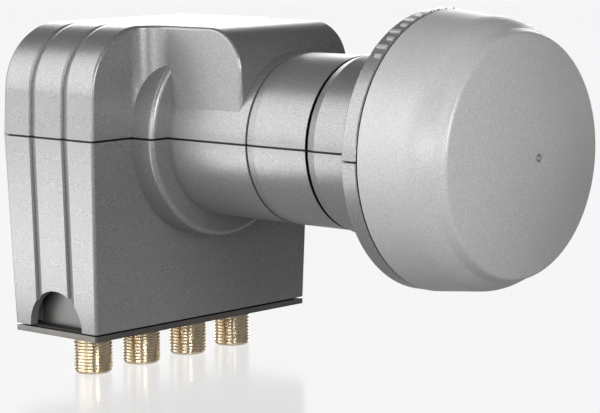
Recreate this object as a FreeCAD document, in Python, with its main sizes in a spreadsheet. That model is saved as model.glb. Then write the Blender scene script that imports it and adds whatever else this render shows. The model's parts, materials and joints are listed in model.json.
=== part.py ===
import FreeCAD, Part
import math
import os
import re
import Sketcher
from FreeCAD import Placement, Rotation, Vector

# Satellite receiver head with four outlets, in millimetres.
# The neck runs along Y with the feed cap at -Y, the outlets point down, and the
# origin is the middle of the neck zone that the dish arm's clamp closes on.

SIZES = {
    # neck zone for the clamp, between two turned grooves
    "neck_radius": 20.0,
    "neck_zone": 17.8,
    "neck_rear_radius": 19.85,
    "neck_front_radius": 20.6,
    "neck_bevel": 2.2,
    "neck_bevel_drop": 0.25,
    "rear_groove": 0.6,
    "front_groove": 0.9,
    "neck_groove_floor": 19.1,
    "neck_wall": 1.5,
    # housing, from the parting plane up and down
    "half_width": 37.35,
    "housing_front": 41.4,
    "housing_depth": 31.05,
    "roof_height": 26.1,
    "skirt_depth": 45.44,
    "shoulder_radius": 15.6,
    "draft_angle": 1.75,
    "edge_radius": 0.8,
    "shell_wall": 2.2,
    # the two grooves down each narrow side
    "rib_pitch": 11.1,
    "rib_shift": -0.3,
    "rib_groove_width": 2.2,
    "rib_groove_step": 0.3,
    "rib_groove_depth": 0.8,
    # hood that bridges from the roof to the neck
    "hood_half_width": 18.5,
    "hood_setback": 2.6,
    "hood_radius": 9.8,
    "hood_flare": 6.2,
    # round collar where the neck leaves the housing
    "collar_radius": 25.0,
    "collar_height": 7.0,
    "collar_edge": 1.2,
    "collar_wall": 2.4,
    # angle ring at the front of the shells, with its raised marks
    "ring_radius": 31.1,
    "ring_setback": 29.4,
    "ring_thickness": 4.05,
    "ring_edge": 0.3,
    "mark_long": 2.7,
    "mark_short": 1.7,
    "mark_width": 0.85,
    "mark_height": 0.3,
    "mark_margin": 0.5,
    "mark_step": 5.0,
    "mark_span": 45.0,
    # shadow line between the two shells
    "seam_gap": 0.24,
    "seam_depth": 1.0,
    # spigot that carries the feed cap and its seal
    "spigot_radius": 28.8,
    "spigot_length": 6.2,
    "spigot_wall": 4.2,
    "horn_seat_depth": 0.5,
    "seal_section": 0.85,
    "seal_groove_depth": 1.6,
    "seal_groove_width": 2.0,
    # tongues, clips, catches and guides inside the shells
    "play": 0.25,
    "tongue_thickness": 0.95,
    "tongue_height": 2.0,
    "tongue_root": 3.0,
    "tongue_margin": 2.4,
    "clip_width": 6.0,
    "clip_setback": 12.0,
    "clip_gap": 0.8,
    "clip_thickness": 1.2,
    "clip_top": 6.0,
    "clip_root": 3.5,
    "clip_foot": 9.0,
    "clip_nub": 1.1,
    "catch_top": 4.5,
    "catch_height": 2.5,
    "guide_width": 3.5,
    "guide_setback": 8.0,
    "guide_gap": 0.2,
    "guide_top": 10.0,
    "guide_height": 24.0,
    # half-round notch in the foot of each narrow side
    "notch_radius": 9.0,
    # feed cap, from its rim
    "cap_gap": 0.35,
    "cap_play": 0.2,
    "cap_lip": 0.1,
    "cap_bore_depth": 6.2,
    "cap_stop": 0.5,
    "cap_wall": 1.9,
    "cap_shoulder_radius": 29.8,
    "cap_shoulder": 14.3,
    "cap_shoulder_bend": 10.0,
    "cap_cove_radius": 27.6,
    "cap_cove": 17.6,
    "cap_cove_bend": 2.0,
    "cap_brow_radius": 26.7,
    "cap_brow": 20.4,
    "cap_brow_bend": 1.4,
    "cap_dome_rise": 4.2,
    "cap_dome_corner": 13.5,
    "cap_dome_bend": 80.0,
    "dimple_radius": 0.8,
    "dimple_depth": 0.5,
    # base gasket and base plate under the skirt
    "gasket_recess": 1.4,
    "gasket_height": 0.41,
    "plate_thickness": 1.35,
    "plate_corner": 0.8,
    # cast body with its feed tube and ringed horn
    "cast_side_gap": 3.65,
    "cast_front_gap": 2.0,
    "cast_back_gap": 0.56,
    "cast_top_gap": 6.9,
    "cast_corner": 8.0,
    "cast_wall": 2.0,
    "cast_front_wall": 2.5,
    "cast_floor": 4.0,
    "wave_radius": 8.75,
    "tube_radius": 11.2,
    "mouth_radius": 10.0,
    "mouth": 12.0,
    "flange_gap": 0.1,
    "flange_thickness": 3.0,
    "inner_ring_radius": 15.6,
    "inner_ring": 14.0,
    "outer_ring_radius": 21.6,
    "outer_ring": 16.0,
    "horn_wall": 1.5,
    # circuit board and what it carries
    "solder_gap": 0.05,
    "board_thickness": 1.0,
    "board_gap": 0.2,
    "board_foot_gap": 5.44,
    "board_top_gap": 0.7,
    "board_corner": 5.5,
    "window_gap": 0.1,
    "ledge": 1.5,
    "ledge_top": 4.0,
    "boss_radius": 3.2,
    "boss_gap": 0.3,
    "upper_boss_side": 5.5,
    "upper_boss_drop": 7.0,
    "lower_boss_rise": 7.0,
    "probe_width": 0.8,
    "probe_thickness": 0.4,
    "probe_tip": 2.6,
    "probe_seat": 3.3,
    "resonator_radius": 2.6,
    "resonator_height": 2.2,
    "resonator_place": 8.0,
    "resonator_rise": 16.0,
    "chip_height": 1.1,
    "chip_width": 6.0,
    "chip_length": 5.0,
    "chip_side": 12.3,
    "chip_drop": 5.0,
    "tab_width": 9.0,
    "tab_height": 2.2,
    # rear cover with its gasket, cup, walls and screws
    "rear_gasket_height": 0.3,
    "cover_thickness": 2.0,
    "cover_margin": 0.2,
    "cup_wall": 1.45,
    "cup_slot": 2.4,
    "cup_slot_depth": 1.4,
    "shield_wall": 1.2,
    "shield_margin": 3.5,
    "shield_rise": 7.4,
    "screw_radius": 1.5,
    "screw_gap": 0.05,
    "screw_head_radius": 2.7,
    "screw_head_height": 1.3,
    "screw_length": 8.0,
    "screw_socket_radius": 1.0,
    "screw_socket_depth": 1.1,
    "tuner_gap": 0.75,
    # outlets with insulator and contact
    "outlet_setback": 9.9,
    "outlet_side_gap": 0.2,
    "outlet_radius": 4.7,
    "outlet_reach": 10.3,
    "outlet_bore": 3.4,
    "outlet_gap": 0.05,
    "outlet_chamfer": 0.5,
    "outlet_shank": 4.9,
    "outlet_shank_foot": 0.2,
    "outlet_shoulder": 5.3,
    "outlet_shoulder_height": 1.5,
    "insulator_recess": 0.7,
    "insulator_funnel": 1.2,
    "contact_radius": 0.5,
    "contact_recess": 3.5,
    "contact_lap": 3.0,
    "base_screw_setback": 2.8,
}

doc = FreeCAD.newDocument("satellite_receiver_head")
sheet = doc.addObject("Spreadsheet::Sheet", "Sizes")
for row, (alias, size) in enumerate(SIZES.items(), start=1):
    sheet.set(f"A{row}", alias)
    sheet.set(f"B{row}", str(size))
    sheet.setAlias(f"B{row}", alias)
doc.recompute()

TURNS = {
    "XY": Rotation(),
    "XZ": Rotation(Vector(1, 0, 0), 90),
    "YZ": Rotation(Vector(1, 1, 1), 120),
}
ACROSS = {"XY": "z", "XZ": "y", "YZ": "x"}


def full(text):
    """An expression over the sheet, from one that names the sizes alone."""
    return re.sub(r"[a-z_]+", lambda word: ("Sizes." if word[0] in SIZES else "") + word[0], str(text))


def number(text):
    """The value of an expression over the sheet."""
    return float(sheet.evalExpression(full(text)))


def bind(thing, places):
    """Bind properties of an object to expressions over the sheet."""
    for name, text in places.items():
        thing.setExpression(name, full(text))
    return thing


def draw(sketch, corners):
    """Draw a closed outline through corners (x, y) or (x, y, corner radius)."""
    points = [Vector(number(corner[0]), number(corner[1]), 0) for corner in corners]
    count = len(points)
    arrive, leave = [], []
    for index, corner in enumerate(corners):
        here = points[index]
        reach_back = (points[index - 1] - here).normalize()
        reach_on = (points[(index + 1) % count] - here).normalize()
        reach = 0.0
        if len(corner) == 3:
            reach = number(corner[2]) / math.tan(reach_back.getAngle(reach_on) / 2)
        arrive.append(here + reach_back * reach)
        leave.append(here + reach_on * reach)
    lines = [
        sketch.addGeometry(Part.LineSegment(leave[index], arrive[(index + 1) % count]))
        for index in range(count)
    ]
    ties, held = [], []

    def hold(kind, name, text, *places):
        held.append((len(ties), name, text))
        ties.append(Sketcher.Constraint(kind, *places, number(text)))

    for index, corner in enumerate(corners):
        before, after = lines[index - 1], lines[index]
        if len(corner) == 2:
            ties.append(Sketcher.Constraint("Coincident", before, 2, after, 1))
            spot = after
        else:
            spot = sketch.addGeometry(Part.Point(points[index]), True)
            ties.append(Sketcher.Constraint("PointOnObject", spot, 1, before))
            ties.append(Sketcher.Constraint("PointOnObject", spot, 1, after))
            radius = number(corner[2])
            inward = ((arrive[index] + leave[index]) * 0.5 - points[index]).normalize()
            centre = points[index] + inward * math.hypot(radius, (arrive[index] - points[index]).Length)
            left = (arrive[index] - points[index]).cross(leave[index] - points[index]).z < 0
            ends = (arrive[index], leave[index]) if left else (leave[index], arrive[index])
            circle = Part.Circle(centre, Vector(0, 0, 1), radius)
            bend = sketch.addGeometry(Part.ArcOfCircle(circle, *(circle.parameter(end) for end in ends)))
            first = 1 if left else 2
            ties.append(Sketcher.Constraint("Tangent", before, 2, bend, first))
            ties.append(Sketcher.Constraint("Tangent", after, 1, bend, 3 - first))
            hold("Radius", f"bend{index}", corner[2], bend)
        hold("DistanceX", f"across{index}", corner[0], -1, 1, spot, 1)
        hold("DistanceY", f"along{index}", corner[1], -1, 1, spot, 1)
    sketch.addConstraint(ties)
    for place, name, text in held:
        sketch.renameConstraint(place, name)
        sketch.setExpression(f"Constraints.{name}", full(text))


def outline(name, plane, corners, offset="0"):
    """A free outline on a plane parallel to XY, XZ or YZ, moved off it by the offset."""
    sketch = doc.addObject("Sketcher::SketchObject", name)
    sketch.Placement = Placement(Vector(), TURNS[plane])
    bind(sketch, {f"Placement.Base.{ACROSS[plane]}": offset})
    draw(sketch, corners)
    return sketch


def extruded(name, sketch, forward, backward="0"):
    """A prism from an outline, along the outline's normal and against it."""
    prism = doc.addObject("Part::Extrusion", name)
    prism.Base = sketch
    prism.DirMode = "Normal"
    prism.Solid = True
    return bind(prism, {"LengthFwd": forward, "LengthRev": backward})


def lofted(name, sections):
    """A solid ruled from section to section."""
    loft = doc.addObject("Part::Loft", name)
    loft.Sections = sections
    loft.Solid = True
    loft.Ruled = True
    return loft


def block(name, corner, lengths):
    """A box from its lowest corner and its three lengths."""
    box = doc.addObject("Part::Box", name)
    places = dict(zip(("Placement.Base.x", "Placement.Base.y", "Placement.Base.z"), corner))
    return bind(box, {**places, **dict(zip(("Length", "Width", "Height"), lengths))})


def joined(name, pieces, kind="Part::MultiFuse"):
    """The union of some shapes, or what they have in common."""
    whole = doc.addObject(kind, name)
    whole.Shapes = pieces
    if kind == "Part::MultiFuse":
        whole.Refine = True
    return whole


def common(name, pieces):
    """What some shapes have in common."""
    return joined(name, pieces, "Part::MultiCommon")


def cut(name, base, tool):
    """A shape less another."""
    rest = doc.addObject("Part::Cut", name)
    rest.Base = base
    rest.Tool = tool
    return rest


def plane_of(body, role):
    """One of a body's own origin planes, by its role."""
    return next(thing for thing in body.Origin.OriginFeatures if thing.Role == role)


def sketch_in(body, role, corners, offset="0"):
    """An outline on a body's own plane, moved off it by the offset."""
    sketch = body.newObject("Sketcher::SketchObject", f"{body.Name}_outline")
    sketch.AttachmentSupport = [(plane_of(body, role), "")]
    sketch.MapMode = "FlatFace"
    bind(sketch, {"AttachmentOffset.Base.z": offset})
    draw(sketch, corners)
    return sketch


def turned(name, corners, x="0", z="0"):
    """A body turned about a line along Y from an outline of (radius, y) corners."""
    body = doc.addObject("PartDesign::Body", name)
    sketch = sketch_in(body, "XY_Plane", corners)
    turn = body.newObject("PartDesign::Revolution", f"{name}_turn")
    turn.Profile = sketch
    turn.ReferenceAxis = (sketch, ["V_Axis"])
    turn.Angle = 360
    return bind(body, {"Placement.Base.x": x, "Placement.Base.z": z})


def upright(name, corners, x, y):
    """A body turned about a vertical line from an outline of (radius, height) corners."""
    body = turned(name, corners)
    body.Placement = Placement(Vector(), TURNS["XZ"])
    return bind(body, {"Placement.Base.x": x, "Placement.Base.y": y})


def rod(name, along, start, radius, length):
    """A cylinder along X, Y or Z from the middle of its first end."""
    turns = {"x": Rotation(Vector(0, 1, 0), 90), "y": Rotation(Vector(1, 0, 0), -90), "z": Rotation()}
    cylinder = doc.addObject("Part::Cylinder", name)
    cylinder.Placement = Placement(Vector(), turns[along])
    places = dict(zip(("Placement.Base.x", "Placement.Base.y", "Placement.Base.z"), start))
    return bind(cylinder, {**places, "Radius": radius, "Height": length})


def mirrored(corners):
    """Corners on the +X side, followed by the same ones on the -X side in return order."""
    return corners + [(f"-({corner[0]})", *corner[1:]) for corner in reversed(corners)]


def slab(name, corners, y, thickness):
    """A plate in the XZ plane with its first face at y, growing toward +Y."""
    return extruded(name, outline(f"{name}_outline", "XZ", corners, y), "0", thickness)


def pair(name, inner, outer, start, width, low, height):
    """Two blocks, one on each side, between an inner and an outer distance from the middle."""
    return [
        block(f"{name}_{side}", (corner, start, low), (f"{outer} - ({inner})", width, height))
        for side, corner in (("right", inner), ("left", f"-({outer})"))
    ]


def rounded(name, base, choose, radius):
    """A body made from a shape, with the chosen edges rounded."""
    doc.recompute()
    body = doc.addObject("PartDesign::Body", name)
    body.BaseFeature = base
    doc.recompute()
    start = body.Tip
    edges = [f"Edge{n}" for n, edge in enumerate(start.Shape.Edges, start=1) if choose(edge)]
    fillet = body.newObject("PartDesign::Fillet", f"{name}_round")
    fillet.Base = (start, edges)
    bind(fillet, {"Radius": radius})
    body.Tip = fillet
    return body


# Places that follow from the sizes.
LEAN = "tan(draft_angle * 1 deg)"
BACK = "(housing_front + housing_depth)"
SIDE_MIDDLE = "(housing_front + housing_depth / 2 + rib_shift)"
INSIDE = "(housing_front + shell_wall)"
HOOD_FRONT = "(neck_zone / 2 + rear_groove + hood_setback)"
RING_FRONT = "(ring_setback + ring_thickness)"
SPIGOT_FRONT = "(ring_setback + ring_thickness + spigot_length)"
NECK_BORE = "(neck_groove_floor - neck_wall)"
HORN_SEAT_RADIUS = "(spigot_radius - spigot_wall)"
HORN_SEAT = "(ring_setback + horn_seat_depth)"
FLANGE = "(ring_setback + horn_seat_depth + flange_gap + flange_thickness)"
CAP_RIM = "(ring_setback + ring_thickness + cap_gap)"
CAP_BORE = "(spigot_radius + cap_play)"
CAST_SIDE = "(half_width - shell_wall - cast_side_gap)"
CAST_FRONT = f"({INSIDE} + skirt_depth * {LEAN} + cast_front_gap)"
CAST_TOP = "(roof_height - shell_wall - cast_top_gap)"
COVER_BACK = f"({BACK} - shell_wall - skirt_depth * {LEAN} - cast_back_gap)"
COVER_FRONT = f"({COVER_BACK} - cover_thickness)"
CAST_BACK = f"({COVER_FRONT} - rear_gasket_height)"
CHAMBER = f"({CAST_SIDE} - cast_wall)"
CHAMBER_FRONT = f"({CAST_FRONT} + cast_front_wall)"
CHAMBER_TOP = f"({CAST_TOP} - cast_front_wall)"
FLOOR = "(skirt_depth - cast_floor)"
OUTLET_Y = f"({CAST_FRONT} + outlet_setback)"
OUTLET_PITCH = f"(({CHAMBER} - outlet_shoulder - outlet_side_gap) / 1.5)"
BOARD_FRONT = f"({OUTLET_Y} + contact_radius + solder_gap)"
BOARD_BACK = f"({BOARD_FRONT} + board_thickness)"
BOARD_FOOT = f"({FLOOR} - board_foot_gap)"
BOARD_TOP = f"({CHAMBER_TOP} - board_top_gap)"
BOARD_SIDE = f"({CHAMBER} - board_gap)"
CHIP_X = f"({BOARD_SIDE} - chip_side)"
RESONATOR_Z = f"(resonator_rise - {BOARD_FOOT})"
SHIELD_Z = f"({RESONATOR_Z} + shield_rise)"
PLATE_TOP = "(skirt_depth + gasket_height)"
PLATE_FOOT = "(skirt_depth + gasket_height + plate_thickness)"
OUTLET_FOOT = f"({PLATE_FOOT} + outlet_reach)"
SCREW_HOLE = "(screw_radius + screw_gap)"
SCREW_HEAD_HOLE = "(screw_head_radius + screw_gap)"


def housing_section(name, y, side_inset="0", top_inset="0", below="0"):
    """The housing seen from the front: drafted sides, round shoulders, flat roof."""
    top = f"(half_width - {side_inset} - roof_height * {LEAN})"
    middle = f"(half_width - {side_inset})"
    foot = f"(half_width - {side_inset} - (skirt_depth + {below}) * {LEAN})"
    bottom = f"-(skirt_depth + {below})"
    roof = f"roof_height - {top_inset}"
    bend = f"shoulder_radius - {top_inset}"
    corners = [
        (f"-{foot}", bottom), (foot, bottom), (middle, "0"), (top, roof, bend),
        (f"-{top}", roof, bend), (f"-{middle}", "0"),
    ]
    return outline(name, "XZ", corners, y)


def side_view(name, inset="0"):
    """The housing's front and back as seen from the side, drafted from the parting plane."""
    low, high = "(skirt_depth + 2)", "(roof_height + 2)"
    front, back = f"(housing_front + {inset})", f"({BACK} - {inset})"
    corners = [
        (front, "0"), (front, high), (f"{back} - {high} * {LEAN}", high), (back, "0"),
        (f"{back} - {low} * {LEAN}", f"-{low}"), (f"{front} + {low} * {LEAN}", f"-{low}"),
    ]
    sketch = outline(f"{name}_side", "YZ", corners)
    return extruded(name, sketch, "half_width + 2", "half_width + 2")


def housing_form():
    """The outer form of the housing, pinched by two grooves across each narrow side."""
    stations = [("housing_front", "0")]
    for side in ("-", "+"):
        middle = f"{SIDE_MIDDLE} {side} rib_pitch / 2"
        stations.append((f"{middle} - rib_groove_width / 2", "0"))
        stations.append((f"{middle} + rib_groove_width / 2 - rib_groove_step", "rib_groove_depth"))
        stations.append((f"{middle} + rib_groove_width / 2", "0"))
    stations.append((BACK, "0"))
    sections = [
        housing_section(f"housing_section_{index}", y, inset)
        for index, (y, inset) in enumerate(stations)
    ]
    return common("housing_form", [lofted("housing_loft", sections), side_view("housing_sides")])


def hood_form(roof):
    """The hood's outer form: flat cheeks that flare into the housing's front."""
    wide, flat = "hood_half_width", "(hood_half_width + hood_flare + 1)"
    plan = [
        (f"-{wide}", HOOD_FRONT), (wide, HOOD_FRONT), (wide, "housing_front", "hood_flare"),
        (flat, "housing_front"), (flat, INSIDE), (f"-{flat}", INSIDE),
        (f"-{flat}", "housing_front"), (f"-{wide}", "housing_front", "hood_flare"),
    ]
    prism = extruded("hood_prism", outline("hood_plan", "XY", plan), "roof_height + 1")
    side = [
        (HOOD_FRONT, "0"), (HOOD_FRONT, "roof_height", "hood_radius"),
        (INSIDE, "roof_height"), (INSIDE, "0"),
    ]
    profile = extruded("hood_profile", outline("hood_side", "YZ", side), "half_width", "half_width")
    return common("hood_form", [prism, profile, roof])


def neck_form():
    """Collar, stepped neck, angle ring and cap spigot, turned as one solid bar."""
    zone = "neck_zone / 2"
    groove = "-(ring_setback + ring_thickness + spigot_length / 2"
    corners = [
        ("0", INSIDE), ("collar_radius", INSIDE),
        ("collar_radius", "housing_front - collar_height", "collar_edge"),
        ("neck_rear_radius", "housing_front - collar_height"),
        ("neck_rear_radius", f"{zone} + rear_groove"), ("neck_groove_floor", f"{zone} + rear_groove"),
        ("neck_groove_floor", zone), ("neck_radius - neck_bevel_drop", zone),
        ("neck_radius", f"{zone} - neck_bevel"), ("neck_radius", f"-{zone}"),
        ("neck_groove_floor", f"-{zone}"), ("neck_groove_floor", f"-{zone} - front_groove"),
        ("neck_radius", f"-{zone} - front_groove"),
        ("neck_front_radius", f"-{zone} - front_groove - neck_bevel"),
        ("neck_front_radius", "-ring_setback"),
        ("ring_radius", "-ring_setback", "ring_edge"), ("ring_radius", f"-{RING_FRONT}", "ring_edge"),
        ("spigot_radius", f"-{RING_FRONT}"), ("spigot_radius", f"{groove} - seal_groove_width / 2)"),
        ("spigot_radius - seal_groove_depth", f"{groove} - seal_groove_width / 2)"),
        ("spigot_radius - seal_groove_depth", f"{groove} + seal_groove_width / 2)"),
        ("spigot_radius", f"{groove} + seal_groove_width / 2)"),
        ("spigot_radius", f"-{SPIGOT_FRONT}"), ("0", f"-{SPIGOT_FRONT}"),
    ]
    return turned("neck_form", corners)


def halves(name, form):
    """The upper and the lower half of a form, parted at the neck's axis."""
    reach = f"(2 * ({BACK} + {SPIGOT_FRONT} + half_width))"
    over = block(f"{name}_over", (f"-{reach} / 2", f"-{reach} / 2", "0"), (reach, reach, reach))
    under = block(f"{name}_under", (f"-{reach} / 2", f"-{reach} / 2", f"-{reach}"), (reach, reach, reach))
    return common(f"{name}_upper", [form, over]), common(f"{name}_lower", [form, under])


pieces = []


def piece(thing):
    """Keep an object as one of the pieces to hand over."""
    pieces.append(thing)
    return thing


# Outer forms: housing with hood above the parting plane, housing alone below it.
housing_upper, housing_lower = halves("housing", housing_form())
roof_section = housing_section("roof_section", INSIDE)
hood = hood_form(extruded("roof_prism", roof_section, INSIDE))
neck_upper, neck_lower = halves("neck", neck_form())


def on_outline(edge):
    """True for the sharp outer edges that the mould rounds, seen from their middle."""
    middle = edge.valueAt((edge.FirstParameter + edge.LastParameter) / 2)
    front, back = number("housing_front"), number(BACK)
    between = front + 1.5 < middle.y < back - 1.6
    if between or abs(middle.z) < 0.01 or abs(middle.z + number("skirt_depth")) < 0.01:
        return False
    if middle.z < 0:
        return abs(middle.x) > number("half_width") - 4
    hood_wide, flare = number("hood_half_width"), number("hood_flare")
    if abs(middle.x) > hood_wide + flare + 0.01:
        return middle.z > 0
    top = middle.z > number("roof_height") - number("hood_radius") + 0.01
    cheek = abs(abs(middle.x) - hood_wide) < 0.01
    flared = hood_wide < abs(middle.x) < hood_wide + flare and middle.z > number("roof_height") - 1
    front = cheek and middle.y < number(HOOD_FRONT) + 0.01
    return (cheek and top) or flared or front or middle.y > back - 1.6


upper_form = rounded("upper_form", joined("upper_sharp", [housing_upper, hood]), on_outline, "edge_radius")
lower_form = rounded("lower_form", housing_lower, on_outline, "edge_radius")

# Hollow inside both shells.
room = slab(
    "room_prism",
    mirrored([
        (f"half_width - shell_wall - (skirt_depth + 1) * {LEAN}", "-(skirt_depth + 1)"),
        ("half_width - shell_wall", "0"),
        (f"half_width - shell_wall - roof_height * {LEAN}", "roof_height - shell_wall",
         "shoulder_radius - shell_wall"),
    ]),
    "housing_front",
    "housing_depth",
)
room = common("room", [room, side_view("room_sides", "shell_wall")])
hood_room_plan = block(
    "hood_room_plan",
    ("-(hood_half_width - shell_wall)", f"{HOOD_FRONT} + shell_wall", "0"),
    ("2 * (hood_half_width - shell_wall)", f"housing_front - {HOOD_FRONT} + 1", "roof_height"),
)
hood_room_side = extruded(
    "hood_room_side",
    outline("hood_room_outline", "YZ", [
        (f"{HOOD_FRONT} + shell_wall", "-1"),
        (f"{HOOD_FRONT} + shell_wall", "roof_height - shell_wall", "hood_radius - shell_wall"),
        (f"{INSIDE} + 1", "roof_height - shell_wall"), (f"{INSIDE} + 1", "-1"),
    ]),
    "half_width", "half_width",
)
hood_room = common("hood_room", [hood_room_plan, hood_room_side])
bore = turned("neck_room", [
    ("0", f"-({SPIGOT_FRONT} + 1)"), (HORN_SEAT_RADIUS, f"-({SPIGOT_FRONT} + 1)"),
    (HORN_SEAT_RADIUS, f"-{HORN_SEAT}"), (NECK_BORE, f"-{HORN_SEAT}"),
    (NECK_BORE, "housing_front - collar_height + shell_wall"),
    ("collar_radius - collar_wall", "housing_front - collar_height + shell_wall"),
    ("collar_radius - collar_wall", f"{INSIDE} + 1"), ("0", f"{INSIDE} + 1"),
])
hollow = joined("hollow", [room, hood_room, bore])
lower_hollow = joined("lower_hollow", [room, bore])

# Raised marks on the angle ring, a long one at every second step.
marks = []
count = round(2 * SIZES["mark_span"] / SIZES["mark_step"])
for index in range(count + 1):
    turn = index * SIZES["mark_step"] - SIZES["mark_span"]
    size = "mark_long" if index % 2 else "mark_short"
    mark = doc.addObject("Part::Box", f"mark_{index}")
    mark.Placement = Placement(Vector(), Rotation(Vector(0, 1, 0), turn))
    angle = f"({index} * mark_step - mark_span) * 1 deg"
    bind(mark, {
        "Length": "mark_width",
        "Width": size,
        "Height": "mark_height + ring_edge",
        "Placement.Rotation.Angle": f"({index} * mark_step - mark_span) * 1 deg",
        "Placement.Base.x": f"-mark_width / 2 * cos({angle}) + (ring_radius - ring_edge) * sin({angle})",
        "Placement.Base.y": f"mark_margin - {RING_FRONT}",
        "Placement.Base.z": f"mark_width / 2 * sin({angle}) + (ring_radius - ring_edge) * cos({angle})",
    })
    marks.append(mark)

# Upper shell with its marks and the two clips that reach down into the lower one.
WALL = "half_width - shell_wall"
CLIP = f"({CAST_SIDE} + clip_gap)"
CLIP_START = f"({CAST_FRONT} + clip_setback)"
clips = pair("clip_blade", CLIP, f"{CLIP} + clip_thickness", CLIP_START, "clip_width",
             "-clip_foot", "clip_foot + clip_top")
clips += pair("clip_root", CLIP, f"{WALL} + edge_radius / 2", CLIP_START, "clip_width",
              "clip_top - clip_root", "clip_root")
clips += pair("clip_nub", f"{CLIP} + clip_thickness", f"{CLIP} + clip_thickness + clip_nub",
              CLIP_START, "clip_width", "-clip_foot", "clip_foot - catch_top - catch_height - play / 2")
upper_full = joined("upper_full", [upper_form, neck_upper] + marks)
upper_hollow = cut("upper_open", upper_full, hollow)
piece(joined("upper_shell", [upper_hollow] + clips))

# Lower shell: shadow line around the parting plane, notches, tongues, catches and guides.
core = extruded(
    "seam_core",
    outline("seam_outline", "XY", mirrored([
        ("half_width - seam_depth", f"{BACK} - seam_depth"),
        ("half_width - seam_depth", "housing_front + seam_depth"),
        ("collar_radius - seam_depth", "housing_front + seam_depth"),
        ("collar_radius - seam_depth", "housing_front - collar_height + seam_depth"),
        ("neck_rear_radius - seam_depth", "housing_front - collar_height + seam_depth"),
        ("neck_rear_radius - seam_depth", "-(ring_setback + seam_depth)"),
        ("ring_radius - seam_depth", "-(ring_setback + seam_depth)"),
        ("ring_radius - seam_depth", f"-({SPIGOT_FRONT} + 1)"),
    ]), "-seam_gap"),
    "seam_gap",
)
band = block(
    "seam_band",
    ("-(half_width + 2)", f"-({RING_FRONT} + 1)", "-seam_gap"),
    ("2 * (half_width + 2)", f"{RING_FRONT} + {BACK} + 3", "seam_gap"),
)
seam = cut("seam", band, core)
notch = rod("notch", "x", ("-(half_width + 1)", SIDE_MIDDLE, "-skirt_depth"), "notch_radius",
            "2 * half_width + 2")
TONGUE_START = f"{INSIDE} + tongue_margin"
TONGUE_LENGTH = "housing_depth - 2 * (shell_wall + tongue_margin)"
fittings = pair("tongue", f"{WALL} - tongue_thickness - play", f"{WALL} - play", TONGUE_START,
                TONGUE_LENGTH, "-tongue_root", "tongue_root + tongue_height")
fittings += pair("tongue_root", f"{WALL} - tongue_thickness - play", f"{WALL} + edge_radius / 2",
                 TONGUE_START, TONGUE_LENGTH, "-tongue_root", "tongue_root - seam_gap")
fittings += pair("catch", f"{CLIP} + clip_thickness + play", f"{WALL} + edge_radius / 2",
                 CLIP_START, "clip_width", "-(catch_top + catch_height)", "catch_height")
fittings += pair("guide", f"{CAST_SIDE} + guide_gap", f"{WALL} - play / 2", f"{CAST_FRONT} + guide_setback",
                 "guide_width", "-(guide_top + guide_height)", "guide_height")
lower_full = joined("lower_full", [lower_form, neck_lower])
lower_open = cut("lower_open", lower_full, lower_hollow)
lower_seamed = cut("lower_seamed", lower_open, seam)
lower_notched = cut("lower_notched", lower_seamed, notch)
piece(joined("lower_shell", [lower_notched] + fittings))

# Feed cap and the seal ring in the spigot's groove.
CAP_TIP = f"({CAP_RIM} + cap_brow + cap_dome_rise)"
piece(turned("feed_cap", [
    (CAP_BORE, f"-{CAP_RIM}"), ("ring_radius + cap_lip", f"-{CAP_RIM}", "ring_edge"),
    ("cap_shoulder_radius", f"-({CAP_RIM} + cap_shoulder)", "cap_shoulder_bend"),
    ("cap_cove_radius", f"-({CAP_RIM} + cap_cove)", "cap_cove_bend"),
    ("cap_brow_radius", f"-({CAP_RIM} + cap_brow)", "cap_brow_bend"),
    ("cap_dome_corner", f"-{CAP_TIP}", "cap_dome_bend"),
    ("dimple_radius", f"-{CAP_TIP}"), ("0", f"-({CAP_TIP} - dimple_depth)"),
    ("0", f"-({CAP_TIP} - cap_wall)"),
    ("cap_dome_corner - cap_wall / 2", f"-({CAP_TIP} - cap_wall)", "cap_dome_bend - cap_wall * 3"),
    ("cap_brow_radius - cap_wall * 0.87", f"-({CAP_RIM} + cap_brow - cap_wall * 0.66)"),
    ("cap_shoulder_radius - cap_wall", f"-({CAP_RIM} + cap_shoulder - cap_wall * 0.42)",
     "cap_shoulder_bend - cap_wall"),
    (f"{CAP_BORE} - cap_stop", f"-({CAP_RIM} + cap_bore_depth)"),
    (CAP_BORE, f"-({CAP_RIM} + cap_bore_depth)"),
]))
seal = doc.addObject("Part::Torus", "cap_seal")
seal.Placement = Placement(Vector(), Rotation(Vector(1, 0, 0), 90))
piece(bind(seal, {
    "Radius1": f"{CAP_BORE} - (cap_play + seal_groove_depth) / 2",
    "Radius2": "seal_section",
    "Placement.Base.y": f"-({RING_FRONT} + spigot_length / 2)",
}))

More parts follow.
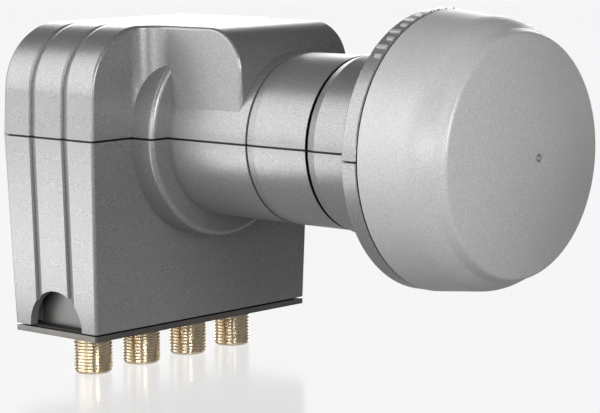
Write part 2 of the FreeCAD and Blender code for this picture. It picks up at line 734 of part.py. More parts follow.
# Cast body: box with an open chamber, feed tube and ringed horn in one casting.
box = slab("cast_box", mirrored([
    (CAST_SIDE, "-skirt_depth"), (CAST_SIDE, CAST_TOP, "cast_corner"),
]), CAST_FRONT, f"{CAST_BACK} - {CAST_FRONT}")
chamber = slab("chamber", mirrored([
    (CHAMBER, f"-{FLOOR}"), (CHAMBER, CHAMBER_TOP, "cast_corner - cast_wall"),
]), CHAMBER_FRONT, f"{CAST_BACK} - {CAST_FRONT}")
feed = turned("feed_tube", [
    ("wave_radius", BOARD_FRONT), ("tube_radius", BOARD_FRONT),
    ("tube_radius", f"-({HORN_SEAT} + flange_gap)"),
    (f"{HORN_SEAT_RADIUS} - flange_gap", f"-({HORN_SEAT} + flange_gap)"),
    (f"{HORN_SEAT_RADIUS} - flange_gap", f"-{FLANGE}"),
    ("outer_ring_radius", f"-{FLANGE}"), ("outer_ring_radius", f"-({FLANGE} + outer_ring)"),
    ("outer_ring_radius - horn_wall", f"-({FLANGE} + outer_ring)"),
    ("outer_ring_radius - horn_wall", f"-{FLANGE}"),
    ("inner_ring_radius", f"-{FLANGE}"), ("inner_ring_radius", f"-({FLANGE} + inner_ring)"),
    ("inner_ring_radius - horn_wall", f"-({FLANGE} + inner_ring)"),
    ("inner_ring_radius - horn_wall", f"-{FLANGE}"),
    ("mouth_radius", f"-{FLANGE}"), ("mouth_radius", f"-({FLANGE} + mouth)"),
    ("wave_radius", f"-({FLANGE} + mouth)"),
])
UPPER_BOSS = (f"({CHAMBER} - upper_boss_side)", f"{CHAMBER_TOP} - upper_boss_drop")
LOWER_BOSS = (OUTLET_PITCH, f"lower_boss_rise - {BOARD_FOOT}")
screw_places = {
    f"{height}_{side}": (f"{sign}{x}", z)
    for height, (x, z) in (("upper", UPPER_BOSS), ("lower", LOWER_BOSS))
    for side, sign in (("left", "-"), ("right", ""))
}
bosses = [
    rod(f"boss_{name}", "y", (x, f"{CHAMBER_FRONT} - 0.5", z), "boss_radius",
        f"{COVER_FRONT} - {CHAMBER_FRONT} + 0.5")
    for name, (x, z) in screw_places.items()
]
ledges = pair("ledge", f"{CHAMBER} - ledge", f"{CHAMBER} + cast_wall / 2", f"{CHAMBER_FRONT} - 0.5",
              f"{BOARD_FRONT} - {CHAMBER_FRONT} + 0.5", f"-{BOARD_FOOT}", f"{BOARD_FOOT} + ledge_top")
holes = [
    rod(f"screw_hole_{name}", "y", (x, f"{COVER_BACK} - screw_length - 1", z), SCREW_HOLE, "screw_length")
    for name, (x, z) in screw_places.items()
]
outlets = [f"({index} - 1.5) * {OUTLET_PITCH}" for index in range(4)]
holes += [
    rod(f"outlet_hole_{index}", "z", (x, OUTLET_Y, "-(skirt_depth + 1)"), "outlet_shank + outlet_gap",
        "cast_floor + 2")
    for index, x in enumerate(outlets, start=1)
]
BASE_SCREW_Y = f"{CAST_FRONT} + base_screw_setback"
base_screws = {"left": f"-{OUTLET_PITCH}", "right": OUTLET_PITCH}
holes += [
    rod(f"base_screw_hole_{side}", "z", (x, BASE_SCREW_Y, "-(skirt_depth + 1)"), SCREW_HOLE,
        "cast_floor + 1.5")
    for side, x in base_screws.items()
]
holes.append(rod("wave_hole", "y", ("0", f"{CAST_FRONT} - 1", "0"), "wave_radius", "cast_front_wall + 2"))
cast_open = cut("cast_open", box, chamber)
cast_full = joined("cast_full", [cast_open, feed] + bosses + ledges)
piece(cut("cast_body", cast_full, joined("cast_holes", holes)))

# Gasket and plate under the skirt.
foot_wide = f"(half_width - skirt_depth * {LEAN})"
foot_front, foot_back = f"(housing_front + skirt_depth * {LEAN})", f"({BACK} - skirt_depth * {LEAN})"


def foot_plate(name, inset, corner, top, thickness):
    """A plate with the skirt's footprint, drawn in by the inset."""
    sketch = outline(f"{name}_outline", "XY", mirrored([
        (f"{foot_wide} - {inset}", f"{foot_front} + {inset}", corner),
        (f"{foot_wide} - {inset}", f"{foot_back} - {inset}", corner),
    ]), f"-({top} + {thickness})")
    return extruded(name, sketch, thickness)


def foot_holes(name, outlet, screw, top, thickness):
    """The holes for four outlets and two screws through a plate under the skirt."""
    rods = [
        rod(f"{name}_outlet_{index}", "z", (x, OUTLET_Y, f"-({top} + {thickness} + 1)"), outlet,
            f"{thickness} + 2")
        for index, x in enumerate(outlets, start=1)
    ]
    rods += [
        rod(f"{name}_screw_{side}", "z", (x, BASE_SCREW_Y, f"-({top} + {thickness} + 1)"), screw,
            f"{thickness} + 2")
        for side, x in base_screws.items()
    ]
    return rods


gasket = foot_plate("gasket_sheet", "gasket_recess", "plate_corner", "skirt_depth", "gasket_height")
OUTLET_HOLE = "outlet_shank + outlet_gap"
gasket_holes = foot_holes("gasket_hole", OUTLET_HOLE, SCREW_HOLE, "skirt_depth", "gasket_height")
piece(cut("base_gasket", gasket, joined("gasket_holes", gasket_holes)))
plate = foot_plate("plate_sheet", "0.02", "plate_corner", PLATE_TOP, "plate_thickness")
plate_holes = foot_holes("plate_hole", OUTLET_HOLE, SCREW_HOLE, PLATE_TOP, "plate_thickness")
plate_holes += [
    upright(f"plate_sink_{side}", [
        ("0", f"-{PLATE_FOOT} - 1"), (SCREW_HEAD_HOLE, f"-{PLATE_FOOT} - 1"),
        (SCREW_HEAD_HOLE, f"-{PLATE_FOOT}"), (SCREW_HOLE, f"screw_head_height - {PLATE_FOOT}"),
        ("0", f"screw_head_height - {PLATE_FOOT}"),
    ], x, BASE_SCREW_Y)
    for side, x in base_screws.items()
]
piece(cut("base_plate", plate, joined("plate_holes", plate_holes)))


def screw_outline(head, way, length):
    """A countersunk screw's outline from its head, growing toward +1 or -1 times its length."""
    return [
        ("0", f"{head} {way} screw_socket_depth"),
        ("screw_socket_radius", f"{head} {way} screw_socket_depth"),
        ("screw_socket_radius", head), ("screw_head_radius", head),
        ("screw_radius", f"{head} {way} screw_head_height"), ("screw_radius", f"{head} {way} {length}"),
        ("0", f"{head} {way} {length}"),
    ]


for side, x in base_screws.items():
    length = "(gasket_height + plate_thickness + cast_floor)"
    piece(upright(f"base_screw_{side}", screw_outline(f"-{PLATE_FOOT}", "+", length), x, BASE_SCREW_Y))

# Circuit board on the ledges, with the window for the feed tube and holes for the bosses.
board = slab("board_sheet", mirrored([
    (BOARD_SIDE, f"-{BOARD_FOOT}"), (BOARD_SIDE, BOARD_TOP, "board_corner"),
]), BOARD_FRONT, "board_thickness")
board_holes = [
    rod("board_window", "y", ("0", f"{BOARD_FRONT} - 1", "0"), "wave_radius - window_gap",
        "board_thickness + 2")
]
board_holes += [
    rod(f"board_hole_{name}", "y", (x, f"{BOARD_FRONT} - 1", z), "boss_radius + boss_gap",
        "board_thickness + 2")
    for name, (x, z) in screw_places.items()
]
piece(cut("main_board", board, joined("board_holes", board_holes)))
PROBE_LENGTH = "wave_radius + probe_seat - probe_tip"
piece(block("probe_vertical", ("-probe_width / 2", BOARD_BACK, "probe_tip"),
            ("probe_width", "probe_thickness", PROBE_LENGTH)))
piece(block("probe_horizontal", ("probe_tip", BOARD_BACK, "-probe_width / 2"),
            (PROBE_LENGTH, "probe_thickness", "probe_width")))
for name, x in (("resonator_low", "-resonator_place"), ("resonator_high", "resonator_place")):
    piece(rod(name, "y", (x, BOARD_BACK, RESONATOR_Z), "resonator_radius", "resonator_height"))
piece(block("rf_chip", (CHIP_X, BOARD_BACK, "-chip_drop"), ("chip_width", "chip_height", "chip_length")))
piece(block("switch_chip", (f"-({CHIP_X} + chip_width)", BOARD_BACK, "-chip_drop"),
            ("chip_width", "chip_height", "chip_length")))
piece(block("regulator_chip", (f"{CHIP_X} - 2", BOARD_BACK, f"{RESONATOR_Z} - 2"),
            ("tab_width", "tab_height", "chip_length + 1")))

# Rear gasket and cover, with the cup behind the feed tube and the walls between the stages.
rim = mirrored([
    (f"{CAST_SIDE} - cover_margin", "-(skirt_depth - cover_margin)"),
    (f"{CAST_SIDE} - cover_margin", f"{CAST_TOP} - cover_margin", "cast_corner - cover_margin"),
])
rim_sheet = slab("rear_gasket_sheet", rim, CAST_BACK, "rear_gasket_height")
piece(cut("rear_gasket", rim_sheet, chamber))
cover = slab("cover_sheet", rim, COVER_FRONT, "cover_thickness")
cup = turned("cup", [
    ("wave_radius", BOARD_BACK), ("wave_radius + cup_wall", BOARD_BACK),
    ("wave_radius + cup_wall", f"{COVER_FRONT} + 0.5"), ("wave_radius", f"{COVER_FRONT} + 0.5"),
])
deep = f"{COVER_FRONT} - {BOARD_BACK} + 0.5"
shields = [
    block("shield_across", (f"-({CHAMBER} - shield_margin)", BOARD_BACK, SHIELD_Z),
          (f"2 * ({CHAMBER} - shield_margin)", deep, "shield_wall")),
    block("shield_down", ("-shield_wall / 2", BOARD_BACK, f"1 - {BOARD_FOOT}"),
          ("shield_wall", deep, f"{BOARD_FOOT} + {SHIELD_Z}")),
]
cover_full = joined("cover_full", [cover, cup] + shields)
slots = [
    block("cup_slot_top", ("-cup_slot / 2", f"{BOARD_BACK} - 1", "wave_radius - 1"),
          ("cup_slot", "cup_slot_depth + 1", "cup_wall + 2")),
    block("cup_slot_side", ("wave_radius - 1", f"{BOARD_BACK} - 1", "-cup_slot / 2"),
          ("cup_wall + 2", "cup_slot_depth + 1", "cup_slot")),
]
for name, (x, z) in screw_places.items():
    slots.append(rod(f"cover_hole_{name}", "y", (x, f"{COVER_FRONT} - 1", z), SCREW_HOLE,
                     "cover_thickness + 2"))
    slots.append(turned(f"cover_sink_{name}", [
        ("0", f"{COVER_BACK} + 1"), (SCREW_HEAD_HOLE, f"{COVER_BACK} + 1"), (SCREW_HEAD_HOLE, COVER_BACK),
        (SCREW_HOLE, f"{COVER_BACK} - screw_head_height"), ("0", f"{COVER_BACK} - screw_head_height"),
    ], x, z))
tuners = {"low": "-resonator_place", "high": "resonator_place"}
for name, x in tuners.items():
    slots.append(rod(f"tuner_hole_{name}", "y", (x, f"{COVER_FRONT} - 1", RESONATOR_Z), SCREW_HOLE,
                     "cover_thickness + 2"))
piece(cut("rear_cover", cover_full, joined("cover_holes", slots)))
for name, (x, z) in screw_places.items():
    piece(turned(f"cover_screw_{name}", screw_outline(COVER_BACK, "-", "screw_length"), x, z))
for name, x in tuners.items():
    piece(turned(f"tuning_screw_{name}", [
        ("0", f"{COVER_BACK} - screw_socket_depth"),
        ("screw_socket_radius", f"{COVER_BACK} - screw_socket_depth"),
        ("screw_socket_radius", COVER_BACK), ("screw_radius", COVER_BACK),
        ("screw_radius", f"{BOARD_BACK} + resonator_height + tuner_gap"),
        ("0", f"{BOARD_BACK} + resonator_height + tuner_gap"),
    ], x, RESONATOR_Z))

# Four outlets: threaded body, insulator with a funnel, and the contact up to the board.
for index, x in enumerate(outlets, start=1):
    piece(upright(f"f_body_{index}", [
        ("outlet_bore", f"-{OUTLET_FOOT}"), ("outlet_radius - outlet_chamfer", f"-{OUTLET_FOOT}"),
        ("outlet_radius", f"outlet_chamfer - {OUTLET_FOOT}"),
        ("outlet_radius", f"-({PLATE_FOOT} + outlet_shank_foot)"),
        ("outlet_shank", f"-({PLATE_FOOT} + outlet_shank_foot)"), ("outlet_shank", f"-{FLOOR}"),
        ("outlet_shoulder", f"-{FLOOR}"), ("outlet_shoulder", f"outlet_shoulder_height - {FLOOR}"),
        ("outlet_bore", f"outlet_shoulder_height - {FLOOR}"),
    ], x, OUTLET_Y))
    piece(upright(f"f_insulator_{index}", [
        ("insulator_funnel", f"insulator_recess - {OUTLET_FOOT}"),
        ("outlet_bore - outlet_gap", f"insulator_recess - {OUTLET_FOOT}"),
        ("outlet_bore - outlet_gap", f"outlet_shoulder_height - {FLOOR}"),
        ("contact_radius + outlet_gap", f"outlet_shoulder_height - {FLOOR}"),
        ("contact_radius + outlet_gap", f"insulator_recess + 1 - {OUTLET_FOOT}"),
    ], x, OUTLET_Y))
    piece(upright(f"f_contact_{index}", [
        ("0", f"contact_recess - {OUTLET_FOOT}"),
        ("contact_radius", f"contact_recess - {OUTLET_FOOT}", "contact_radius / 2"),
        ("contact_radius", f"contact_lap - {BOARD_FOOT}"), ("0", f"contact_lap - {BOARD_FOOT}"),
    ], x, OUTLET_Y))

doc.recompute()
for thing in doc.Objects:
    if {"Invalid", "Error"} & set(thing.State):
        raise RuntimeError(f"{thing.Name} did not build: {thing.State}")
    if thing.TypeId == "Part::Cut" and thing.Shape.Volume > thing.Base.Shape.Volume - 0.5:
        raise RuntimeError(f"{thing.Name} took nothing away")
for thing in pieces:
    thing.Label = thing.Name
    if thing.Shape.isNull() or not thing.Shape.isValid() or len(thing.Shape.Solids) != 1:
        raise RuntimeError(f"{thing.Name} is not one sound solid")
os.makedirs("parts", exist_ok=True)
for thing in pieces:
    thing.Shape.exportStep(f"parts/{thing.Label}.step")
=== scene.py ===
import json
import math

import bmesh
import bpy
from mathutils import Matrix, Vector


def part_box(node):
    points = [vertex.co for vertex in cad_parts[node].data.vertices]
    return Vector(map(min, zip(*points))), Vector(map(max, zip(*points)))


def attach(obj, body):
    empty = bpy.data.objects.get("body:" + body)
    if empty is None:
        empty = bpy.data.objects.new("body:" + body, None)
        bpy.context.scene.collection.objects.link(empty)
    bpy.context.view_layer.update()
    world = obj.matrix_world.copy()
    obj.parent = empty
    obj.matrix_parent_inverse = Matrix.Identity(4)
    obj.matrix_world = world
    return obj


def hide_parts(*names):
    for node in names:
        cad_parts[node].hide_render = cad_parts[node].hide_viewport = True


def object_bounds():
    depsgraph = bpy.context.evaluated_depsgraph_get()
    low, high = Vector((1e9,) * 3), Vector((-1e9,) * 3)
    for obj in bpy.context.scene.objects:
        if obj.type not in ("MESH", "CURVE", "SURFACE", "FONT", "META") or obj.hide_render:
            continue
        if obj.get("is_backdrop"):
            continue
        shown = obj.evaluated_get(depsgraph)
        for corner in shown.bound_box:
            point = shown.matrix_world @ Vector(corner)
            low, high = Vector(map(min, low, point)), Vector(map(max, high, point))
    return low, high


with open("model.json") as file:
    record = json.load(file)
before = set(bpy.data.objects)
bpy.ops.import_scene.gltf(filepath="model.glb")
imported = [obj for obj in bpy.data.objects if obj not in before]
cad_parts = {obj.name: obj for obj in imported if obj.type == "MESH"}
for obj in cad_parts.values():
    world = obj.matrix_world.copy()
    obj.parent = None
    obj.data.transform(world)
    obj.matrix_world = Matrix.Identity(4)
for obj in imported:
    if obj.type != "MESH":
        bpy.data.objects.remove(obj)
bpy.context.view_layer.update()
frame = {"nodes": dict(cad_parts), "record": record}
nodes = frame["nodes"]
MM = 0.001
# Where the looks paint shadow, shade and highlights, in millimetres as in the solids: painted
# shadow in the seam, the groove, the cap's gap and the cap's rim, painted shade in a ring round
# the cap's dimple, and a painted highlight on the ring's marks. Lengths run along Y, heights along
# Z, and radii are from the neck's axis.
SEAM_HEIGHTS = (-0.245, 0.245)
GROOVE_LENGTH, GROOVE_RADII = (-9.81, -8.89), (18.5, 19.78)
MARK_LENGTH, MARK_RADII, MARK_HEIGHTS = (-33.3, -29.8), (31.13, 40.0), (10.0, 40.0)
CAP_GAP_LENGTH, CAP_GAP_RADII = (-33.9, -33.4), (24.0, 30.9)
CAP_RIM_LENGTH = (-33.85, 0.0)
DIMPLE_LENGTH, DIMPLE_RADII = (-60.0, -56.0), (0.3, 0.95)
# Near black for painted shadow, and a lighter grey for the painted highlight on the ring's marks.
SHADOW_TONE, MARK_HIGHLIGHT_TONE = 0.006, 0.62
# Near black for painted shadow on the cap's rim, and a darker grey for painted shade round the
# dimple.
CAP_RIM_TONE, DIMPLE_SHADE_TONE = 0.01, 0.16
# The outlets' bodies, in millimetres.
OUTLET_RADIUS, OUTLET_BORE, OUTLET_FOOT = 4.7, 3.4, -57.5
MOUTH_RADIUS, MOUTH_BEVEL, MOUTH_HEIGHT = OUTLET_RADIUS - 0.75, 0.45, 0.2
THREAD_PITCH, THREAD_DEPTH = 25.4 / 32, 0.42
THREAD_TOP = -47.4
THREAD_FOOT_GAP, THREAD_TOP_GAP = 0.25, 0.35
LEAD_IN, RUN_OUT = 0.6, 0.5
COLLAR_HEIGHT = 0.2
SHANK_RADIUS = 4.9
SHOULDER_RADIUS, SHOULDER_FOOT, SHOULDER_TOP = 5.3, -41.44, -39.94
ROWS_PER_PITCH, SEGMENTS = 10, 72
# Edges above these angles, in degrees, stay sharp.
SHARP_ANGLE, THREAD_SHARP_ANGLE = 30.0, 50.0
# A noise texture's values mostly lie between these.
NOISE_RANGE = (0.3, 0.7)
CAST_WARMTH = 0.03
WHITE = (1.0, 1.0, 1.0, 1.0)


# ---------------------------------------------------------------- materials
class Shader:
    """A node tree under construction, with short calls for the nodes used here."""

    def __init__(self, name):
        self.material = bpy.data.materials.new(name)
        self.material.use_nodes = True
        self.tree = self.material.node_tree
        self.surface = self.tree.nodes["Principled BSDF"]
        self.coords = self.tree.nodes.new("ShaderNodeTexCoord").outputs["Object"]

    def add(self, kind, inputs=None, **options):
        node = self.tree.nodes.new(kind)
        for key, value in options.items():
            setattr(node, key, value)
        for key, value in (inputs or {}).items():
            if isinstance(value, bpy.types.NodeSocket):
                self.tree.links.new(value, node.inputs[key])
            else:
                node.inputs[key].default_value = value
        return node

    def math(self, operation, *values):
        return self.add("ShaderNodeMath", dict(enumerate(values)), operation=operation).outputs[0]

    def noise(self, scale, detail=3.0, roughness=0.5, coords=None):
        """Cloudy noise with so many cells to the metre."""
        inputs = {"Scale": scale, "Detail": detail, "Roughness": roughness}
        inputs["Vector"] = coords or self.coords
        return self.add("ShaderNodeTexNoise", inputs).outputs["Fac"]

    def band(self, value, start, end):
        """Take a value from one range (low, high) to another."""
        inputs = {"Value": value, "From Min": start[0], "From Max": start[1]}
        inputs.update({"To Min": end[0], "To Max": end[1]})
        return self.add("ShaderNodeMapRange", inputs).outputs["Result"]

    def mix(self, factor, first, second):
        """Blend two colours; sockets 0, 6 and 7 are the factor and the colours."""
        node = self.add("ShaderNodeMix", data_type="RGBA")
        for index, value in ((0, factor), (6, first), (7, second)):
            socket = node.inputs[index]
            if isinstance(value, bpy.types.NodeSocket):
                self.tree.links.new(value, socket)
            else:
                socket.default_value = value
        return node.outputs[2]

    def bump(self, height, depth, strength):
        """A normal for a relief with this depth in millimetres."""
        inputs = {"Height": height, "Distance": depth * MM, "Strength": strength}
        return self.add("ShaderNodeBump", inputs).outputs["Normal"]

    def set(self, name, value):
        """Set or link an input of the surface."""
        if isinstance(value, bpy.types.NodeSocket):
            self.tree.links.new(value, self.surface.inputs[name])
        else:
            self.surface.inputs[name].default_value = value

    def surface_from(self, node):
        """Let another shader than the first one reach the output."""
        self.tree.links.new(node.outputs[0], self.tree.nodes["Material Output"].inputs["Surface"])

    def places(self):
        """A point's length along the neck, its height and its radius from the axis, in metres."""
        x, length, height = self.add("ShaderNodeSeparateXYZ", {"Vector": self.coords}).outputs
        squares = self.math(
            "ADD", self.math("MULTIPLY", x, x), self.math("MULTIPLY", height, height)
        )
        return length, height, self.math("SQRT", squares)


def grey(value, warmth=0.0):
    """A grey, with more red and less blue where warmth is above 0."""
    return (value * (1 + warmth), value, value * (1 - warmth), 1.0)


def dimmed(colour, factor):
    """A colour with an alpha of 1, darker where the factor is below 1."""
    return tuple(channel * factor for channel in colour) + (1.0,)


def moulded(name, tone, rough, metallic, fleck, warmth, marks):
    """Pigmented plastic with the fine grain of its mould and small bright flecks, and the painted
    shadow, shade and highlights that marks(s, colour) adds to its colour.
    """
    s = Shader(name)
    grain = s.noise(2600.0, 2.0, 0.6)
    flecks = s.band(s.noise(5200.0, 1.0), (0.42, 0.66), (1.0 - fleck, 1.0 + fleck))
    clouds = s.band(s.noise(60.0), NOISE_RANGE, (0.985, 1.015))
    inputs = {0: grey(tone, warmth)[:3], "Scale": s.math("MULTIPLY", flecks, clouds)}
    colour = s.add("ShaderNodeVectorMath", inputs, operation="SCALE").outputs[0]
    # marks paints shadow, shade and highlights into the base colour.
    s.set("Base Color", marks(s, colour))
    s.set("Metallic", metallic)
    s.set("Roughness", s.band(grain, NOISE_RANGE, (rough - 0.04, rough + 0.05)))
    s.set("Normal", s.bump(grain, 0.05, 0.28))
    return s.material


def within(s, value, limits):
    """1 where a length in metres lies between two limits in millimetres, and 0 elsewhere."""
    low, high = limits
    above = s.math("GREATER_THAN", value, low * MM)
    return s.math("MULTIPLY", above, s.math("LESS_THAN", value, high * MM))


def shell_painted_shadow_and_highlight(s, colour):
    """Painted highlight on the ring's marks; painted shadow in the seam, groove and cap's gap."""
    length, height, radius = s.places()
    ring = s.math("MULTIPLY", within(s, length, MARK_LENGTH), within(s, radius, MARK_RADII))
    # A lighter colour on the outer faces of the ring's marks: a painted highlight.
    mark_highlight = s.math("MULTIPLY", ring, within(s, height, MARK_HEIGHTS))
    colour = s.mix(mark_highlight, colour, grey(MARK_HIGHLIGHT_TONE))
    dark = within(s, height, SEAM_HEIGHTS)
    for lengths, radii in ((GROOVE_LENGTH, GROOVE_RADII), (CAP_GAP_LENGTH, CAP_GAP_RADII)):
        band = s.math("MULTIPLY", within(s, length, lengths), within(s, radius, radii))
        dark = s.math("MAXIMUM", dark, band)
    return s.mix(dark, colour, grey(SHADOW_TONE))


def cap_painted_shade(s, colour):
    """Painted shadow on the cap's rim and inside, and painted shade in a ring
    around the small dimple in its face.
    """
    length, _, radius = s.places()
    # A darker ring round the dimple in the cap's face: painted shade.
    dimple = s.math("MULTIPLY", within(s, radius, DIMPLE_RADII), within(s, length, DIMPLE_LENGTH))
    colour = s.mix(dimple, colour, grey(DIMPLE_SHADE_TONE))
    return s.mix(within(s, length, CAP_RIM_LENGTH), colour, grey(CAP_RIM_TONE))


def cast(name, tone, rough):
    """Die-cast metal: cloudy, slightly pitted, with flow marks."""
    s = Shader(name)
    flow = s.noise(90.0, 6.0, 0.65)
    pits = s.noise(1400.0, 3.0, 0.7)
    clouds = s.band(flow, NOISE_RANGE, (0.0, 1.0))
    darker, lighter = grey(tone * 0.88, CAST_WARMTH), grey(tone * 1.08, CAST_WARMTH)
    s.set("Base Color", s.mix(clouds, darker, lighter))
    s.set("Metallic", 0.85)
    s.set("Roughness", s.band(flow, NOISE_RANGE, (rough - 0.06, rough + 0.1)))
    s.set("Normal", s.bump(pits, 0.06, 0.5))
    return s.material


def plated(name, colour, rough, brush):
    """Plated metal with fine turning or brushing marks, closer together where brush is larger."""
    s = Shader(name)
    streaks = s.add("ShaderNodeMapping", {"Vector": s.coords, "Scale": brush}).outputs[0]
    marks = s.noise(900.0, 2.0, 0.6, streaks)
    stains = s.band(s.noise(220.0, 4.0), (0.35, 0.7), (0.0, 1.0))
    s.set("Base Color", s.mix(stains, dimmed(colour, 0.86), (*colour, 1.0)))
    s.set("Metallic", 1.0)
    s.set("Roughness", s.band(marks, NOISE_RANGE, (rough - 0.05, rough + 0.08)))
    s.set("Normal", s.bump(marks, 0.02, 0.14))
    return s.material


def plain(name, colour, rough, scale=900.0):
    """A dense material such as rubber, plastic or ceramic, with fine grain."""
    s = Shader(name)
    grain = s.noise(scale, 3.0, 0.6)
    shades = s.band(grain, (0.35, 0.65), (0.0, 1.0))
    s.set("Base Color", s.mix(shades, dimmed(colour, 0.8), (*colour, 1.0)))
    s.set("Roughness", s.band(grain, NOISE_RANGE, (rough - 0.05, rough + 0.05)))
    s.set("Normal", s.bump(grain, 0.03, 0.4))
    return s.material


def board(name):
    """Green laminate with faint copper tracks under the mask."""
    s = Shader(name)
    inputs = {"Vector": s.coords, "Scale": 260.0, "Mortar Size": 0.03}
    inputs.update({"Color1": (0.012, 0.10, 0.035, 1.0), "Color2": (0.015, 0.13, 0.045, 1.0)})
    inputs["Mortar"] = (0.05, 0.22, 0.08, 1.0)
    tracks = s.add("ShaderNodeTexBrick", inputs, offset=0.35)
    s.set("Base Color", tracks.outputs["Color"])
    s.set("Roughness", 0.35)
    s.set("Normal", s.bump(tracks.outputs["Fac"], 0.03, 0.4))
    return s.material


# The look of each material slot.
FINISHES = {
    "shell_plastic": moulded("shell_plastic_look", 0.26, 0.33, 0.55, 0.25, -0.01, shell_painted_shadow_and_highlight),
    "cap_plastic": moulded("cap_plastic_look", 0.375, 0.38, 0.1, 0.16, 0.01, cap_painted_shade),
    "cast_metal": cast("cast_metal_look", 0.17, 0.42),
    "cover_metal": cast("cover_metal_look", 0.50, 0.5),
    "plate_metal": plated("plate_metal_look", (0.19, 0.182, 0.17), 0.3, (1.0, 12.0, 12.0)),
    "seal_rubber": plain("seal_rubber_look", (0.008, 0.008, 0.008), 0.7),
    "outlet_metal": plated("outlet_metal_look", (0.95, 0.84, 0.66), 0.16, (0.3, 0.3, 8.0)),
    "outlet_insulator": plain("outlet_insulator_look", (0.75, 0.74, 0.70), 0.4),
    "contact_brass": plated("contact_brass_look", (0.83, 0.60, 0.25), 0.25, (8.0, 8.0, 8.0)),
    "screw_steel": plated("screw_steel_look", (0.62, 0.62, 0.63), 0.3, (8.0, 8.0, 8.0)),
    "board_laminate": board("board_laminate_look"),
    "chip_plastic": plain("chip_plastic_look", (0.018, 0.018, 0.02), 0.5, 1500.0),
    "resonator_ceramic": plain("resonator_ceramic_look", (0.42, 0.30, 0.20), 0.6, 700.0),
}
SLOTS = {part["node"]: part["material_slot"] for part in frame["record"]["subparts"]}


def shaded(piece, material, angle=SHARP_ANGLE):
    """Give a piece its material and smooth shading that keeps the sharper edges."""
    piece.data.materials.clear()
    piece.data.materials.append(material)
    piece.data.shade_smooth()
    piece.data.set_sharp_from_angle(angle=math.radians(angle))


for name, node in nodes.items():
    shaded(node, FINISHES[SLOTS[name]])


# ---------------------------------------------------------------- threaded outlets
def ring_surface(name, profile, centre):
    """A closed surface turned about a vertical line through a centre in metres.

    profile(turn), with the turn from 0 to 1, gives the loop of (radius, height) in millimetres.
    """
    shape = bmesh.new()
    loops = []
    for step in range(SEGMENTS):
        turn = step / SEGMENTS
        angle = 2 * math.pi * turn
        across, along = math.cos(angle) * MM, math.sin(angle) * MM
        loops.append([
            shape.verts.new((centre[0] + radius * across, centre[1] + radius * along, height * MM))
            for radius, height in profile(turn)
        ])
    count = len(loops[0])
    for step in range(SEGMENTS):
        here, there = loops[step], loops[(step + 1) % SEGMENTS]
        for index in range(count):
            after = (index + 1) % count
            shape.faces.new((here[index], there[index], there[after], here[after]))
    bmesh.ops.recalc_face_normals(shape, faces=shape.faces)
    mesh = bpy.data.meshes.new(name)
    shape.to_mesh(mesh)
    shape.free()
    piece = bpy.data.objects.new(name, mesh)
    bpy.context.scene.collection.objects.link(piece)
    return piece


def threaded(turn):
    """The loop of an outlet body: bore, mouth, right-hand thread, plain shank and shoulder."""
    loop = [
        (OUTLET_BORE, OUTLET_FOOT),
        (MOUTH_RADIUS, OUTLET_FOOT),
        (OUTLET_RADIUS - MOUTH_BEVEL, OUTLET_FOOT + MOUTH_HEIGHT),
    ]
    low, high = OUTLET_FOOT + THREAD_FOOT_GAP, THREAD_TOP - THREAD_TOP_GAP
    steps = int((high - low) / THREAD_PITCH * ROWS_PER_PITCH)
    for row in range(steps + 1):
        height = low + (high - low) * row / steps
        phase = height / THREAD_PITCH - turn
        depth = THREAD_DEPTH * (0.5 + 0.5 * math.cos(2 * math.pi * phase))
        # The thread starts on the mouth's bevel, and ends level with the collar above it.
        if height - low < LEAD_IN:
            depth = max(depth, MOUTH_BEVEL * (1 - (height - low) / LEAD_IN))
        if high - height < RUN_OUT:
            depth *= (high - height) / RUN_OUT
        loop.append((OUTLET_RADIUS - depth, height))
    loop += [
        (OUTLET_RADIUS, THREAD_TOP - COLLAR_HEIGHT),
        (OUTLET_RADIUS, THREAD_TOP),
        (SHANK_RADIUS, THREAD_TOP),
        (SHANK_RADIUS, SHOULDER_FOOT),
        (SHOULDER_RADIUS, SHOULDER_FOOT),
        (SHOULDER_RADIUS, SHOULDER_TOP),
        (OUTLET_BORE, SHOULDER_TOP),
    ]
    return loop


for index in range(1, 5):
    low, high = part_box(f"f_body_{index}")
    centre = ((low.x + high.x) / 2, (low.y + high.y) / 2)
    outlet = ring_surface(f"outlet_thread_{index}", threaded, centre)
    shaded(outlet, FINISHES["outlet_metal"], THREAD_SHARP_ANGLE)
    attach(outlet, "root")
    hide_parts(f"f_body_{index}")


# ---------------------------------------------------------------- floor, light and camera
# Sizes and places in metres, and heights over the outlets' feet in millimetres.
STAGE_SIZE, CARD_SIZE = 30.0, 0.42
CARD_PLACE, PART_MIDDLE = (0.28, -0.28, 0.0), (0.0, 0.02, 0.0)
FLOOR_LIFT, GLOW_LIFT, CARD_LIFT = -0.02, -0.01, 0.5
# The floor's light on the part, its light for the camera alone, and how much it mirrors.
FLOOR_GLOW, SEEN_GLOW, FLOOR_GLOSS = 0.42, 0.37, 0.2


def stage_plane(name, size, lift, material):
    """A level square, sized in metres, that isn't part of the model."""
    mesh = bpy.data.meshes.new(name)
    half, height = size / 2, (OUTLET_FOOT + lift) * MM
    corners = [(x * half, y * half, height) for x, y in ((-1, -1), (1, -1), (1, 1), (-1, 1))]
    mesh.from_pydata(corners, [], [(0, 1, 2, 3)])
    piece = bpy.data.objects.new(name, mesh)
    bpy.context.scene.collection.objects.link(piece)
    mesh.materials.append(material)
    piece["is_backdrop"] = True
    return piece


# A pale table that glows evenly, with a weak mirror image of the part.
floor_look = Shader("floor_look")
floor_look.set("Base Color", grey(0.3))
floor_look.set("Roughness", 0.6)
floor_look.set("Specular IOR Level", 0.0)
floor_look.set("Emission Color", WHITE)
floor_look.set("Emission Strength", FLOOR_GLOW)
gloss = floor_look.add("ShaderNodeBsdfGlossy", {"Color": WHITE, "Roughness": 0.16})
layers = {0: FLOOR_GLOSS, 1: floor_look.surface.outputs[0], 2: gloss.outputs[0]}
floor_look.surface_from(floor_look.add("ShaderNodeMixShader", layers))
floor = stage_plane("floor", STAGE_SIZE, FLOOR_LIFT, floor_look.material)
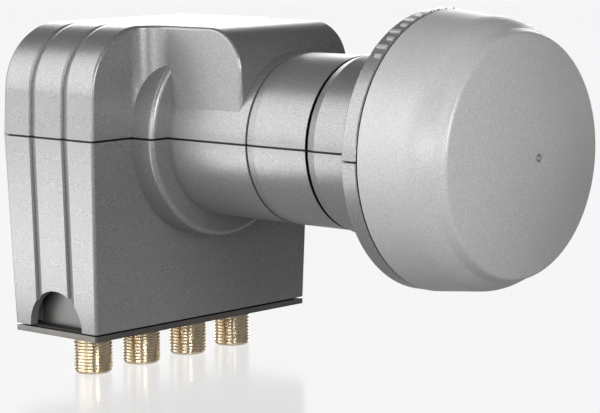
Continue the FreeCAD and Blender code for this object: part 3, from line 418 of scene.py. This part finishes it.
# The rest of the table's brightness is only seen, so that it doesn't flood the part from below.
glow_look = Shader("glow_look")
glow = glow_look.add("ShaderNodeEmission", {"Color": WHITE, "Strength": SEEN_GLOW})
clear = glow_look.add("ShaderNodeBsdfTransparent", {"Color": WHITE})
layers = {0: glow.outputs[0], 1: clear.outputs[0]}
glow_look.surface_from(glow_look.add("ShaderNodeAddShader", layers))
glow_plane = stage_plane("glow", STAGE_SIZE, GLOW_LIFT, glow_look.material)
glow_plane.visible_diffuse = glow_plane.visible_glossy = glow_plane.visible_shadow = False
# A dark card, which the camera doesn't see, keeps the faces towards it from mirroring much floor.
card_look = Shader("card_look")
card_look.set("Base Color", grey(0.02))
card_look.set("Roughness", 0.9)
card = stage_plane("card", CARD_SIZE, CARD_LIFT, card_look.material)
card.location = CARD_PLACE
card.visible_camera = False
# The lamps light everything but the floor, which would mirror them.
beyond_floor = bpy.data.collections.new("beyond_floor")
beyond_floor.objects.link(floor)
beyond_floor.collection_objects[0].light_linking.link_state = "EXCLUDE"


def softbox(name, place, size, power, aim=PART_MIDDLE):
    """A soft lamp that faces the part or another point, sized (width, height) in metres."""
    lamp = bpy.data.lights.new(name, "AREA")
    lamp.shape = "RECTANGLE"
    lamp.size, lamp.size_y = size
    lamp.energy = power
    box = bpy.data.objects.new(name, lamp)
    box.visible_camera = False
    box.location = place
    box.rotation_euler = (Vector(aim) - Vector(place)).to_track_quat("-Z", "Y").to_euler()
    box.light_linking.receiver_collection = beyond_floor
    bpy.context.scene.collection.objects.link(box)


softbox("left_box", (-1.0, 0.15, 0.20), (0.7, 0.6), 2.8)
softbox("left_low_box", (-0.20, 0.19, -0.055), (0.26, 0.26), 0.8, (-0.20, 0.19, 1.0))
softbox("left_back_box", (-0.8, 0.8, 0.45), (1.0, 1.0), 11.0)
softbox("left_high_box", (-0.8, 0.0, 0.8), (0.6, 0.6), 0.9)
softbox("front_box", (-0.14, -0.31, 0.10), (0.12, 0.12), 0.85)
softbox("edge_box", (-0.92, -0.40, 0.16), (0.50, 0.26), 3.6)
softbox("back_box", (0.80, 0.75, 0.30), (1.0, 0.25), 4.0)

# A white wall behind the part, which fades out upwards, and a dim room elsewhere.
TOWARDS_WALL = (0.737, 0.676, -0.7)
world = bpy.data.worlds.new("studio")
bpy.context.scene.world = world
world.use_nodes = True
room = world.node_tree
nearness = room.nodes.new("ShaderNodeVectorMath")
nearness.operation = "DOT_PRODUCT"
nearness.inputs[1].default_value = TOWARDS_WALL
room.links.new(room.nodes.new("ShaderNodeTexCoord").outputs["Generated"], nearness.inputs[0])
wall = room.nodes.new("ShaderNodeMapRange")
wall.interpolation_type = "SMOOTHSTEP"
for key, value in (("From Min", 0.35), ("From Max", 0.8), ("To Min", 0.03), ("To Max", 1.0)):
    wall.inputs[key].default_value = value
room.links.new(nearness.outputs["Value"], wall.inputs["Value"])
room.links.new(wall.outputs["Result"], room.nodes["Background"].inputs["Strength"])
room.nodes["Background"].inputs["Color"].default_value = WHITE

# The camera that was fitted to the photo, with its focal length and the photo's width in pixels.
CAMERA_PLACE = (-0.42073, -0.37379, 0.05878)
CAMERA_RIGHT, CAMERA_FORWARD = (0.674, -0.7387, -0.0086), (0.7317, 0.6691, -0.1303)
FOCAL_PIXELS, PHOTO_WIDTH, SENSOR_WIDTH = 2463.07, 600, 36.0
lens = bpy.data.cameras.new("view")
lens.sensor_width = SENSOR_WIDTH
lens.sensor_fit = "HORIZONTAL"
lens.lens = FOCAL_PIXELS / PHOTO_WIDTH * SENSOR_WIDTH
lens.clip_start, lens.clip_end = 0.05, 50.0
camera = bpy.data.objects.new("view", lens)
right = Vector(CAMERA_RIGHT).normalized()
forward = Vector(CAMERA_FORWARD).normalized()
up = right.cross(forward).normalized()
facing = Matrix((right, up, -forward)).transposed().to_4x4()
camera.matrix_world = Matrix.Translation(CAMERA_PLACE) @ facing
bpy.context.scene.collection.objects.link(camera)
bpy.context.scene.camera = camera
bpy.context.scene.view_settings.view_transform = "Standard"

bpy.context.view_layer.update()
low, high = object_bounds()
